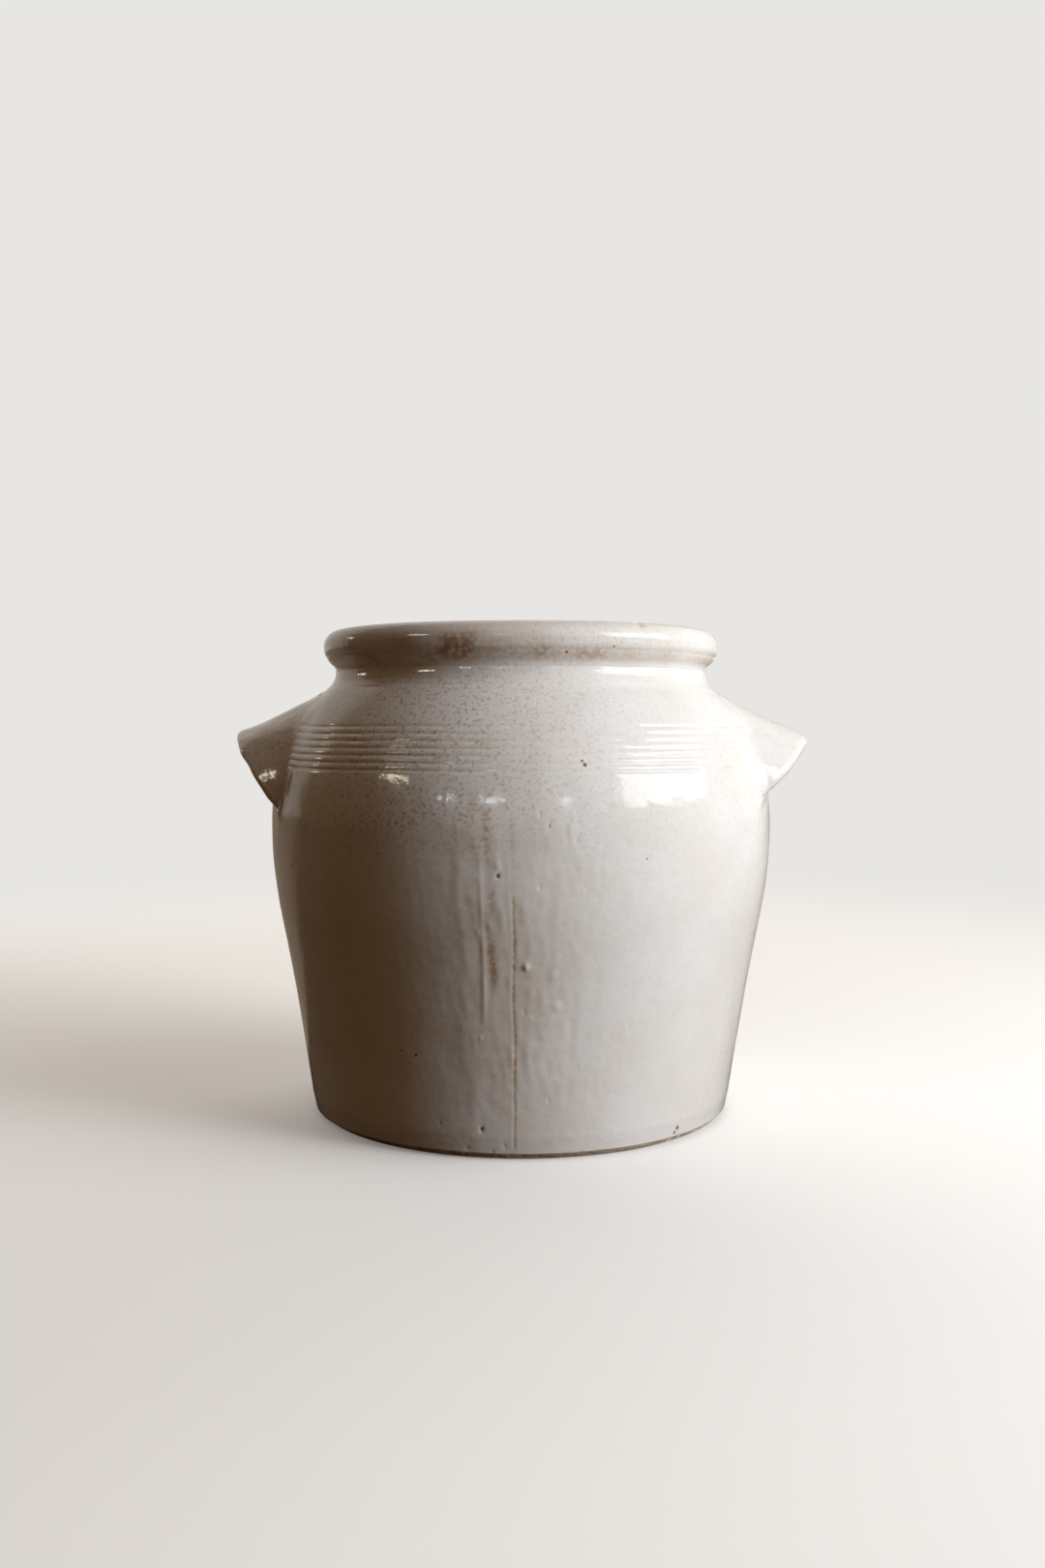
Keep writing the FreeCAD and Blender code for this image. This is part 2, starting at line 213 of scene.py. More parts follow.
def outline():
    """The outline from the glaze's lower edge over the rim to the middle of the floor.

    Returns its points and the numbers of the rows where pieces are joined.
    """
    # The glaze ends in a thin edge just above the foot's bevel
    edge = [(FOOT_RADIUS - 0.6, FOOT_BEVEL + 0.9), (FOOT_RADIUS + 0.1, FOOT_BEVEL + 0.1)]
    foot = (FOOT_RADIUS + GLAZE, FOOT_BEVEL + 0.4)
    base = (BASE_RADIUS, FLOOR_TOP)
    outer = np.vstack([edge, straight(foot, base), side_line(0, base)[1:]])
    inset = WALL + 2 * GLAZE
    widest = (RIM_RADIUS, RIM_MIDDLE)
    middle = (RIM_RADIUS - RIM_ROLL, RIM_MIDDLE)
    crest = (middle[0], TOP)
    mouth = (RIM_RADIUS - 2 * RIM_ROLL, RIM_MIDDLE)
    neck_inside = (NECK_RADIUS - inset, NECK_HEIGHT)
    rim_outside = sway(widest, (NECK_RADIUS, NECK_HEIGHT), RIM_HOLLOW)[::-1]
    roll = chain(arc(widest, crest, middle), arc(crest, mouth, middle))
    rim = chain(rim_outside, roll, straight(mouth, neck_inside))
    cove_top = (BASE_RADIUS - inset, FLOOR_TOP + COVE)
    cove_foot = (cove_top[0] - COVE + GLAZE, FLOOR_TOP + GLAZE)
    cove = arc(cove_top, cove_foot, level_centre(cove_top, cove_foot, cove_top[1]))
    inner = chain(side_line(inset, cove_top)[::-1], cove)
    parts = [
        resample(outer, OUTSIDE_GAP, OUTSIDE_FINER),
        resample(rim, OUTSIDE_GAP, OUTSIDE_FINER),
        resample(inner, INSIDE_GAP, INSIDE_FINER),
        resample(straight(cove_foot, (AXIS_HOLE, cove_foot[1])), FLOOR_GAP),
    ]
    joints = np.cumsum([len(part) - 1 for part in parts[:3]])
    return chain(*parts), joints


# Smooth random waves

WAVES_IN_SUM = 30


def waves(points, length, seed):
    """Random waves of about one length, with a spread of about 1; the same for the same seed."""
    chance = np.random.default_rng(seed)
    directions = chance.normal(size=(WAVES_IN_SUM, 3))
    directions /= np.linalg.norm(directions, axis=1, keepdims=True)
    numbers = 2 * math.pi / (length * chance.uniform(0.7, 1.5, WAVES_IN_SUM))
    phases = chance.uniform(0, 2 * math.pi, WAVES_IN_SUM)
    places = np.asarray(points, np.float32)
    total = np.zeros(places.shape[:-1], np.float32)
    for direction, number, phase in zip(directions, numbers, phases):
        total += np.cos(places @ (direction * number).astype(np.float32) + np.float32(phase))
    return total * math.sqrt(2 / WAVES_IN_SUM)


def ease(value, low, high):
    """0 below low, 1 above high, and smooth between them."""
    share = np.clip((value - low) / (high - low), 0, 1)
    return share * share * (3 - 2 * share)


def span(value, low, high, soft):
    """1 between low and high, fading out over soft on both sides."""
    return ease(value, low - soft, low + soft) * (1 - ease(value, high - soft, high + soft))


def bell(value, width):
    return np.exp(-((value / width) ** 2))


# Places on the wall, given by the pixel where the photograph shows them

outline_points, joint_rows = outline()
crest_row = int(np.argmax(outline_points[:, 1]))
foot_row = int(np.argmin(outline_points[:crest_row, 1]))
outside_line = outline_points[foot_row:crest_row + 1]
BEARINGS = np.concatenate([
    np.arange(-FRONT, FRONT, FRONT_STEP),
    np.linspace(FRONT, 2 * math.pi - FRONT, BACK_COLUMNS, endpoint=False),
])


def wall_radius(height):
    return np.interp(height, outside_line[:, 1], outside_line[:, 0])


def wall_distance(points):
    """How far points stand outside the wall, square to it; below 0 inside the clay."""
    radius = np.hypot(points[..., 0], points[..., 1])
    height = points[..., 2]
    step = 0.5
    lean = (wall_radius(height + step) - wall_radius(height - step)) / (2 * step)
    return (radius - wall_radius(height)) / np.sqrt(1 + lean ** 2)


def on_wall(column, row):
    """Bearing and height of the place on the wall that a pixel shows."""
    depth = CAMERA_DISTANCE - BELLY_RADIUS
    for _ in range(30):
        across = (column - AXIS_COLUMN) / FOCAL_PIXELS * depth
        height = CAMERA_HEIGHT + (HORIZON_ROW - row) / FOCAL_PIXELS * depth
        toward = math.sqrt(max(float(wall_radius(height)) ** 2 - across ** 2, 1.0))
        depth = CAMERA_DISTANCE - toward
    return math.atan2(across, toward), height


# Marks on the glaze; those in front are given by pixels of the photograph

# Ridges of glaze that ran down: column, top row, bottom row, half width, height
RUNS = (
    (476, 850, 1120, 3.2, 0.12), (497, 890, 1050, 1.3, 0.26), (515, 870, 960, 2.2, 0.16),
    (524, 850, 940, 1.6, 0.14), (547, 905, 1120, 2.6, 0.14), (562, 840, 1090, 2.6, 0.08),
    (578, 870, 1070, 3.4, 0.08), (594, 850, 1010, 3.6, 0.06), (604, 980, 1150, 4.0, 0.08),
    (488, 1060, 1180, 3.4, 0.10),
)
# Blisters: column, row, radius, height
BLISTERS = (
    (544, 999, 1.5, 1.0), (572, 1007, 2.2, 0.22), (575, 1040, 2.4, 0.30),
    (497, 1073, 1.0, 0.30), (494, 964, 0.7, 0.35), (555, 968, 0.6, 0.25),
    (565, 985, 0.6, 0.25), (549, 1052, 0.9, 0.30), (515, 894, 1.5, 0.25),
    (590, 855, 1.0, 0.25), (603, 921, 1.0, 0.20), (506, 958, 1.4, 0.25),
    (646, 1062, 1.2, 0.20), (600, 1100, 1.2, 0.20),
)
# Pinholes and burst bubbles: column, row, radius, depth
PITS = (
    (515, 905, 1.2, 0.7), (558, 841, 0.8, 0.5), (568, 853, 0.9, 0.6),
    (596, 869, 0.7, 0.5), (558, 917, 0.8, 0.5), (567, 1137, 0.8, 0.5),
    (498, 1167, 1.1, 0.7), (542, 1046, 0.8, 0.5), (669, 887, 0.8, 0.5),
    (701, 890, 0.6, 0.4), (698, 804, 0.7, 0.4), (704, 808, 0.6, 0.4),
    (746, 842, 0.7, 0.4), (455, 1160, 0.7, 0.4),
)
# Iron specks: column, row, radius
SPECKS = (
    (605, 790, 1.3), (602, 786, 0.9), (515, 905, 1.3), (498, 1167, 1.2),
    (415, 1085, 0.9), (430, 1090, 1.1), (440, 1085, 0.8), (423, 1098, 0.7),
    (446, 1112, 0.6), (455, 1160, 0.8), (568, 853, 0.9), (669, 887, 0.8),
    (567, 1137, 0.7), (586, 674, 0.9), (635, 668, 0.8), (700, 1165, 1.4),
    (697, 1170, 1.1),
)
# Chips that lay the clay bare: column, row, radius, depth
CHIPS = (
    (483, 1186, 1.3, 0.22), (509, 1190, 1.1, 0.22), (522, 1184, 1.0, 0.20),
    (600, 1193, 1.8, 0.35), (622, 1192, 1.4, 0.30),
)
# Brown streaks, the broadest of them partly painted warm shade: column, top row, bottom row, half width,
# strength
STREAKS_AND_WARM_SHADE = (
    (505, 845, 1020, 2.6, 0.55), (530, 845, 935, 1.8, 0.40), (538, 935, 1035, 4.5, 0.25),
    (495, 800, 900, 5.0, 0.20), (522, 1000, 1180, 7.0, 0.20), (560, 1000, 1060, 6.0, 0.10),
    (471, 850, 1180, 8.0, 0.20), (548, 760, 860, 3.0, 0.20), (568, 835, 870, 3.5, 0.15),
    # The two broad rows below are partly brown stain and partly painted warm shade along the terminator and
    # over the shaded left half
    (512, 860, 1190, 28.0, 0.20), (440, 760, 1190, 50.0, 0.14),
)
# Runs on the side that the photograph doesn't show: bearing, top, bottom, half width, height
HIDDEN_RUNS = (
    (1.75, 150, 60, 3.0, 0.12), (2.30, 185, 110, 2.2, 0.14), (2.46, 170, 40, 3.6, 0.10),
    (3.20, 160, 80, 2.6, 0.14), (3.90, 190, 120, 3.2, 0.12), (4.05, 140, 30, 2.4, 0.10),
    (4.80, 150, 70, 3.0, 0.12),
)
# Bearings where that side starts and ends, and how many marks of each kind are scattered on it
HIDDEN_SIDE = (1.0, 5.3)
HIDDEN_MARKS = 26
HIDDEN_BLISTER_HEIGHT = 0.22
HIDDEN_PIT_DEPTH = 0.45
BLISTER_SEED = 9
PIT_SEED = 10
SPECK_SEED = 11
# The seam down the front: its pixels, and its size in millimetres
SEAM_COLUMN = 531
SEAM_TOP_ROW = 930
SEAM_BOTTOM_ROW = 1190
SEAM_HALF_WIDTH = 0.6
SEAM_DEPTH = 0.15
# The ridge beside the seam: how far from it, half width, height
SEAM_RIDGE = (1.9, 1.1, 0.06)
# Lines turned on the rim and at the foot of the neck: height, half width, depth
RIM_CREASE = (273.8, 0.9, 0.28)
RIM_RIDGE = (276.6, 1.5, 0.14)
RIM_LINES = ((285.6, 0.5, 0.07), (287.0, 0.4, 0.05))
NECK_LINES = ((255.4, 0.8, 0.16), (258.8, 0.6, 0.05))
# A chip on the rim's crest
RIM_CHIP_BEARING = 0.60
RIM_CHIP_RADIUS = 2.4
RIM_CHIP_DEPTH = 0.8


class Places:
    """A turned grid of points on the pot's outside, ready for marks."""

    def __init__(self, points):
        self.points = points
        self.heights = points[..., 2]
        self.radii = wall_radius(self.heights)

    def across(self, bearing):
        """Distance round the wall from a bearing."""
        turn = (BEARINGS - bearing + math.pi) % (2 * math.pi) - math.pi
        return turn * self.radii

    def spot(self, column, row, radius):
        """1 in the middle of a round mark, fading to 0."""
        return self.dot(*on_wall(column, row), radius)

    def dot(self, bearing, height, radius):
        """The same, by bearing and height."""
        return bell(np.hypot(self.across(bearing), self.heights - height), radius)

    def stripe(self, column, top_row, bottom_row, half_width, seed):
        """1 along the middle of an upright mark with wandering, uneven edges."""
        bearing, upper = on_wall(column, top_row)
        lower = on_wall(column, bottom_row)[1]
        return self.run(bearing, upper, lower, half_width, seed)

    def run(self, bearing, upper, lower, half_width, seed):
        """The same, by its bearing and the heights of its ends."""
        across = self.across(bearing)
        near = (np.abs(across) < 5 * half_width) & (self.heights > lower - 12) & (self.heights < upper + 12)
        places = self.points[near]
        wander = half_width * 0.5 * waves(places, 45, seed)
        mark = bell(across[near] + wander, half_width) * span(self.heights[near], lower, upper, 9)
        total = np.zeros_like(self.heights)
        total[near] = mark * (0.8 + 0.2 * waves(places, 22 + 2 * half_width, seed + 1))
        return total


def groove_relief(places):
    """Seven turned grooves, a little uneven in depth and height, and part filled by glaze in front."""
    wander = 0.10 * waves(places.points * [1, 1, 0], 70, seed=11)
    filled = 0.75 * bell(places.across(FILLED_GROOVES_BEARING), 46)
    depth = GROOVE_DEPTH * (1 - filled) * (1 + 0.3 * waves(places.points, 26, seed=12))
    total = np.zeros_like(places.heights)
    for height in GROOVE_HEIGHTS:
        total -= depth * bell(places.heights - height - wander, GROOVE_HALF_WIDTH)
    return total


def rim_chip(places, radius):
    """1 in the middle of the chip on the rim's crest, fading to 0."""
    upright = 1.4 * (places.heights - TOP + 1.5)
    return bell(np.hypot(places.across(RIM_CHIP_BEARING), upright), radius)


def rim_relief(places):
    """Crease low on the rim, fine lines on its top, turned lines at the foot of the neck, a chip."""
    level = places.heights + 0.22 * waves(places.points * [1, 1, 0], 120, seed=21)
    uneven = 1 + 0.3 * waves(places.points, 30, seed=22)
    left = 0.25 + 0.75 * bell(places.across(-0.6), 48)

    def line(height, half_width, depth):
        return depth * bell(level - height, half_width)

    total = line(*RIM_RIDGE) - line(*RIM_CREASE) * uneven
    for values in RIM_LINES:
        total -= line(*values)
    for values in NECK_LINES:
        total -= line(*values) * uneven * left
    return total - RIM_CHIP_DEPTH * rim_chip(places, RIM_CHIP_RADIUS)


def seam_ends(places):
    """1 between the seam's ends, fading out beyond them."""
    upper, lower = [on_wall(SEAM_COLUMN, row)[1] for row in (SEAM_TOP_ROW, SEAM_BOTTOM_ROW)]
    return span(places.heights, lower, upper, 4)


def seam_across(places):
    """Distance round the wall from the seam, which wanders a little."""
    bearing = on_wall(SEAM_COLUMN, SEAM_TOP_ROW)[0]
    return places.across(bearing) + 0.45 * waves(places.points, 60, seed=31)


def seam_relief(places):
    """Fine upright seam: a valley beside a low ridge."""
    across = seam_across(places)
    away, half_width, height = SEAM_RIDGE
    section = height * bell(across + away, half_width) - SEAM_DEPTH * bell(across, SEAM_HALF_WIDTH)
    return seam_ends(places) * (0.8 + 0.35 * waves(places.points, 18, seed=32)) * section


def unit(vectors):
    return vectors / np.maximum(np.linalg.norm(vectors, axis=-1, keepdims=True), 1e-9)


def ear_blend(distance):
    """How far an ear and the wall swell where they meet, by the distance from one to the other."""
    return EAR_BLEND / 4 * np.clip(1 - np.abs(distance) / EAR_BLEND, 0, 1) ** 2


class Hood:
    """One ear's leaning cone, in the pot's frame."""

    def __init__(self, ear):
        self.side, self.out, self.height, tilt, self.mouth_radius, self.drop, self.tip_lip, _ = EARS[ear]
        self.tilt = math.radians(tilt)

    def section(self, depth):
        """The cone's radius at a depth behind its mouth, and how far its middle has dropped there."""
        share = (depth + GLAZE) / (EAR_ROOT_DEPTH + GLAZE)
        return self.mouth_radius + GLAZE + (EAR_ROOT_RADIUS - self.mouth_radius) * share, self.drop * share

    def distance(self, points):
        """How far points lie outside the ear's shell, carried on through the wall."""
        away = self.side * points[..., 0] - self.out
        up = points[..., 2] - self.height
        along = away * math.cos(self.tilt) + up * math.sin(self.tilt)
        depth = up * math.cos(self.tilt) - away * math.sin(self.tilt)
        radius, drop = self.section(depth)
        beyond = np.hypot(along + drop, points[..., 1]) - radius
        beyond = np.abs(beyond + EAR_THICKNESS / 2) - EAR_THICKNESS / 2
        outside = np.hypot(np.clip(beyond, 0, None), np.clip(-depth, 0, None))
        return outside + np.clip(np.maximum(beyond, -depth), None, 0)

    def points(self, angle, depth, inward=0.0):
        """Points at an angle round the cone and a depth behind its mouth; angle 0 is the tip."""
        radius, drop = self.section(depth)
        along = (radius - inward) * np.cos(angle) - drop
        across = (radius - inward) * np.sin(angle)
        away = self.out + along * math.cos(self.tilt) - depth * math.sin(self.tilt)
        up = self.height + along * math.sin(self.tilt) + depth * math.cos(self.tilt)
        return np.stack(np.broadcast_arrays(self.side * away, across, up), axis=-1)

    def swollen(self, angle, depth, inward=0.0, share=1.0):
        """The same points, moved outwards by a share of the swelling where ear and wall meet."""
        points = self.points(angle, depth, inward)
        outward = unit(self.points(angle, depth, inward - 0.5) - points)
        return points + outward * (share * ear_blend(wall_distance(points)))[:, None]

    def depth_at(self, angle, distance, inward=0.0):
        """Depth where the cone stands a given distance off the wall, found by halving."""
        shallow = np.full(angle.shape, -30.0)
        deep = np.full(angle.shape, EAR_ROOT_DEPTH)
        for _ in range(40):
            middle = (shallow + deep) / 2
            outside = wall_distance(self.points(angle, middle, inward)) > distance
            shallow = np.where(outside, middle, shallow)
            deep = np.where(outside, deep, middle)
        return (shallow + deep) / 2

    def widest_angle(self):
        """Angle at which the whole lip has run into the wall."""
        angles = np.linspace(0, math.pi, 720)
        covered = wall_distance(self.points(angles, np.full(angles.shape, -GLAZE))) < -EAR_BURIED
        return float(angles[np.argmax(covered)])


def ear_relief(places):
    """Clay smeared from each ear onto the wall beside it."""
    total = np.zeros_like(places.heights)
    for seed, ear in enumerate(EARS, 61):
        hood = Hood(ear)
        near = (hood.side * places.points[..., 0] > 90) & (np.abs(places.heights - 180) < 70)
        points = places.points[near]
        distance = hood.distance(points)
        total[near] += ear_blend(distance)
        smear = bell(np.clip(distance - 3, 0, None), 8) * ease(points[..., 2], 150, 180)
        total[near] += 0.3 * smear * (0.7 + 0.3 * waves(points, 16, seed))
    return total


def hidden_places(seed):
    """Bearings, heights and sizes, 0 to 1, of scattered marks on the side that isn't shown."""
    chance = np.random.default_rng(seed)
    bearings = chance.uniform(*HIDDEN_SIDE, HIDDEN_MARKS)
    heights = chance.uniform(12, 250, HIDDEN_MARKS)
    return zip(bearings, heights, chance.uniform(0, 1, HIDDEN_MARKS))


def glaze_relief(places):
    """Everything that stands proud of the even outside or dips below it."""
    points = places.points
    heights = places.heights
    body = 1 - ease(heights, 200, 215)
    # Unevenness, from the widest waves to the finest, and throwing rings on the body
    total = 0.20 * waves(points, 130, seed=1)
    total += 0.048 * waves(points, 34, seed=2) * (0.35 + 0.65 * body)
    total += 0.013 * waves(points, 12, seed=3)
    total += 0.010 * waves(points, 5, seed=4)
    total += 0.008 * waves(points * [1, 1, 2.5], 9, seed=8)
    total += 0.010 * body * np.sin(2 * math.pi * heights / 9.0 + 1.5 * waves(points, 100, seed=5))
    total += groove_relief(places) + rim_relief(places) + seam_relief(places) + ear_relief(places)
    # Small ripples down the middle of the front
    front = bell(places.across(on_wall(540, 1000)[0]), 42) * span(heights, 24, 188, 14)
    total += 0.035 * front * waves(points * [1, 1, 0.6], 7, seed=6)
    for number, (*line, height) in enumerate(RUNS):
        total += height * places.stripe(*line, seed=100 + 2 * number)
    for number, (*line, height) in enumerate(HIDDEN_RUNS):
        total += height * places.run(*line, seed=300 + 2 * number)
    for bearing, height, size in hidden_places(BLISTER_SEED):
        total += HIDDEN_BLISTER_HEIGHT * places.dot(bearing, height, 0.7 + size)
    for bearing, height, size in hidden_places(PIT_SEED):
        total -= HIDDEN_PIT_DEPTH * places.dot(bearing, height, 0.6 + 0.4 * size)
    for *spot, height in BLISTERS:
        total += height * places.spot(*spot)
    for *spot, depth in PITS + CHIPS:
        total -= depth * places.spot(*spot)
    # Nothing stands proud where the belly reaches the side of the solids' box
    nearest = bell(np.sin(BEARINGS), 0.08) * bell(heights - BELLY_HEIGHT, 22)
    return np.where(total > 0, total * (1 - nearest), total)


def stain_and_warm_shade_marks(places):
    """Brown stain on the rim, down the streaks and the hidden runs, and in the seam; the broadest streaks
    add painted warm shade over the shaded left of the front.
    """
    heights = places.heights
    patches = ease(waves(places.points, 26, seed=41), -1.2, 1.4)
    fine_lines = 0.6 + 0.4 * np.sin(2 * math.pi * heights / 1.1 + waves(places.points, 60, seed=45))
    low_rim = bell(heights - 271.5, 4.5) * (0.3 + 0.7 * bell(places.across(-0.25), 75))
    rim_front = bell(heights - 279, 6) * bell(places.across(-0.22), 48) * patches
    crest = bell(heights - 287.5, 2.5) * bell(places.across(0.1), 70)
    total = 1.1 * low_rim * (0.5 + 0.5 * patches) + 0.95 * rim_front + 0.45 * crest * fine_lines
    # Streaks; the broadest paint warm shade over the shaded left of the front
    for number, (*line, strength) in enumerate(STREAKS_AND_WARM_SHADE):
        total += strength * np.clip(places.stripe(*line, seed=200 + 2 * number), 0, 1)
    total += 0.7 * seam_ends(places) * bell(seam_across(places), SEAM_HALF_WIDTH)
    for number, (bearing, upper, lower, half_width, _) in enumerate(HIDDEN_RUNS):
        mark = places.run(bearing + 0.02, upper, lower, 1.5 * half_width, seed=400 + 2 * number)
        total += 0.15 * np.clip(mark, 0, 1)
    return total


def speckle_marks(places):
    """Fine iron speckle, thickest on the left of the shoulder and on the rim's front."""
    shoulder = span(places.heights, 168, 268, 22) * (0.08 + 0.92 * bell(places.across(-0.42), 72))
    rim = 0.5 * bell(places.heights - 277, 9) * bell(places.across(-0.1), 110)
    return np.maximum(shoulder, rim)


def dark_marks(places):
    """Single iron specks, those of the photograph and scattered ones on the hidden side."""
    total = np.zeros_like(places.heights)
    for speck in SPECKS:
        total = np.maximum(total, places.spot(*speck))
    for seed in (PIT_SEED, SPECK_SEED):
        for bearing, height, size in hidden_places(seed):
            total = np.maximum(total, places.dot(bearing, height, 0.6 + 0.7 * size))
    return total


def bare_marks(places):
    """Bare clay in the chips and below the glaze's wavy edge at the foot."""
    total = rim_chip(places, RIM_CHIP_RADIUS * 0.8)
    for column, row, radius, _ in CHIPS:
        total = np.maximum(total, places.spot(column, row, radius * 0.9))
    wavy = 0.25 * waves(places.points, 14, seed=42) + 0.15 * waves(places.points, 5, seed=43)
    edge = FOOT_BEVEL + 0.1 + wavy
    return np.maximum(total, 1 - ease(places.heights - edge, 0, 1))


# What a mesh carries at each point, 0 to 1, for the glaze's material
MARKS = {"stain_and_warm_shade": stain_and_warm_shade_marks, "speckle": speckle_marks, "dark": dark_marks, "bare": bare_marks}


# Meshes

def grid_faces(rows, columns, close_rows=False, close_columns=False):
    """Corner numbers of the faces between the rows and columns of a grid."""
    row = np.arange(rows if close_rows else rows - 1)[:, None]
    column = np.arange(columns if close_columns else columns - 1)[None, :]
    next_row = (row + 1) % rows
    next_column = (column + 1) % columns
    corners = [
        row * columns + column,
        row * columns + next_column,
        next_row * columns + next_column,
        next_row * columns + column,
    ]
    return np.stack(np.broadcast_arrays(*corners), axis=-1).reshape(-1, 4)


class Shell:
    """A closed mesh put together from a grid and its end faces, turned over if it is inside out."""

    def __init__(self, name, points, inside_out=False):
        self.name = name
        self.inside_out = inside_out
        self.points = [points]
        self.faces = []
        self.smooth = []
        self.materials = []

    def add_faces(self, faces, smooth, material=0):
        """Faces with equal numbers of corners; smooth and material are one value or one per face."""
        self.faces.append(faces[:, ::-1] if self.inside_out else faces)
        self.smooth.append(np.broadcast_to(smooth, len(faces)))
        self.materials.append(np.broadcast_to(material, len(faces)))

    def add_fan(self, ring, centre, smooth, material=0):
        """Triangles from a ring of corner numbers to a new point."""
        number = sum(len(part) for part in self.points)
        self.points.append(np.array([centre]))
        around = np.roll(ring, -1)
        self.add_faces(np.stack([ring, around, np.full_like(ring, number)], axis=1), smooth, material)

    def piece(self, materials, marks):
        """The mesh object, in metres, riding on the pot."""
        points = np.vstack(self.points)
        sizes = np.concatenate([np.full(len(part), part.shape[1]) for part in self.faces])
        corners = np.concatenate([part.ravel() for part in self.faces])
        mesh = bpy.data.meshes.new(self.name)
        mesh.vertices.add(len(points))
        mesh.vertices.foreach_set("co", (points * MM).astype(np.float32).ravel())
        mesh.loops.add(len(corners))
        mesh.loops.foreach_set("vertex_index", corners.astype(np.int32))
        mesh.polygons.add(len(sizes))
        mesh.polygons.foreach_set("loop_start", (np.cumsum(sizes) - sizes).astype(np.int32))
        for material in materials:
            mesh.materials.append(material)
        mesh.polygons.foreach_set("material_index", np.concatenate(self.materials).astype(np.int32))
        mesh.polygons.foreach_set("use_smooth", np.concatenate(self.smooth).astype(bool))
        for mark, values in marks.items():
            attribute = mesh.attributes.new(mark, "FLOAT", "POINT")
            filled = np.zeros(len(points), np.float32)
            filled[:values.size] = np.clip(values, 0, 1).ravel()
            attribute.data.foreach_set("value", filled)
        mesh.update(calc_edges=True)
        if mesh.validate():
            raise RuntimeError(f"{self.name} had faults in its mesh")
        piece = bpy.data.objects.new(self.name, mesh)
        bpy.context.scene.collection.objects.link(piece)
        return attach(piece, "root")


def turned(line):
    """Grid of points that a line of radii and heights sweeps round the axis."""
    radius = line[:, :1]
    height = np.repeat(line[:, 1:], len(BEARINGS), axis=1)
    return np.stack([radius * np.sin(BEARINGS), -radius * np.cos(BEARINGS), height], axis=-1)


def turned_normals(grid):
    """Outward unit normals of a turned grid."""
    around = np.roll(grid, -1, axis=1) - np.roll(grid, 1, axis=1)
    return unit(np.cross(around, np.gradient(grid, axis=0)))


def inside_relief(points):
    """Unevenness inside the pot, and throwing rings that end at the rim and the cove."""
    heights = points[..., 2]
    total = 0.20 * waves(points, 130, seed=1)
    total += 0.10 * waves(points, 34, seed=2)
    total += 0.045 * waves(points, 12, seed=3)
    rings = 0.25 * np.sin(2 * math.pi * heights / 14.0 + 0.8 * waves(points, 120, seed=7))
    return total + rings * span(heights, 33, 256, 7)


def turned_surface():
    """Points and marks of the whole turned surface."""
    grid = turned(outline_points)
    outer = slice(0, crest_row + 1)
    inner = slice(crest_row + 1, None)
    outside = Places(grid[outer])
    relief = np.vstack([glaze_relief(outside), inside_relief(grid[inner])])
    # Nothing stands proud at the very top, which is as high as the solids
    room = ease(TOP - grid[..., 2], 0, 1.5)
    relief = np.where(relief > 0, relief * room, relief)
    marks = {mark: np.zeros(relief.shape) for mark in MARKS}
    for mark, strengths in MARKS.items():
        marks[mark][outer] = strengths(outside)
    high = ease(grid[inner][..., 2], 240, 285)
    marks["stain_and_warm_shade"][inner] = 0.3 * high * ease(waves(grid[inner], 30, seed=44), -0.5, 1.5)
    return grid + turned_normals(grid) * relief[..., None], marks


def shell_of_rows(name, grid, marks, rows, hidden_line, materials):
    """A closed ring of rows of the turned surface, closed behind by a line that nothing shows."""
    columns = grid.shape[1]
    points = np.vstack([grid[rows], turned(hidden_line)])
    shell = Shell(name, points.reshape(-1, 3))
    faces = grid_faces(len(points), columns, close_rows=True, close_columns=True)
    seen = np.zeros(len(points), bool)
    seen[:len(rows) - 1] = np.diff(rows) == 1
    inner = np.zeros(len(points), int)
    inner[:len(rows)] = rows >= crest_row
    shell.add_faces(faces, np.repeat(seen, columns), np.repeat(inner, columns))
    return shell.piece(materials, {mark: values[rows] for mark, values in marks.items()})


def make_turned_pieces(glaze, inner_glaze, clay):
    """Wall, rim and floor, cut out of one turned surface so that they meet without a step."""
    grid, marks = turned_surface()
    neck, neck_inside, cove_foot = joint_rows
    seat = np.array([
        (outline_points[cove_foot][0], FLOOR_TOP),
        (BASE_RADIUS - GLAZE, FLOOR_TOP),
        (FOOT_RADIUS - 0.3, FOOT_BEVEL + 1.2),
    ])
    wall_rows = np.concatenate([np.arange(neck + 1), np.arange(neck_inside, cove_foot + 1)])
    wall = shell_of_rows("pot_wall", grid, marks, wall_rows, seat, [glaze, inner_glaze])
    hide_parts("body_wall", "outer_glaze", "inner_glaze")
    rim_rows = np.arange(neck, neck_inside + 1)
    rim = shell_of_rows("pot_rim", grid, marks, rim_rows, np.zeros((0, 2)), [glaze, inner_glaze])
    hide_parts("rim_collar")
    floor = make_floor(grid[cove_foot:], inner_glaze, clay)
    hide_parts("base_disc")


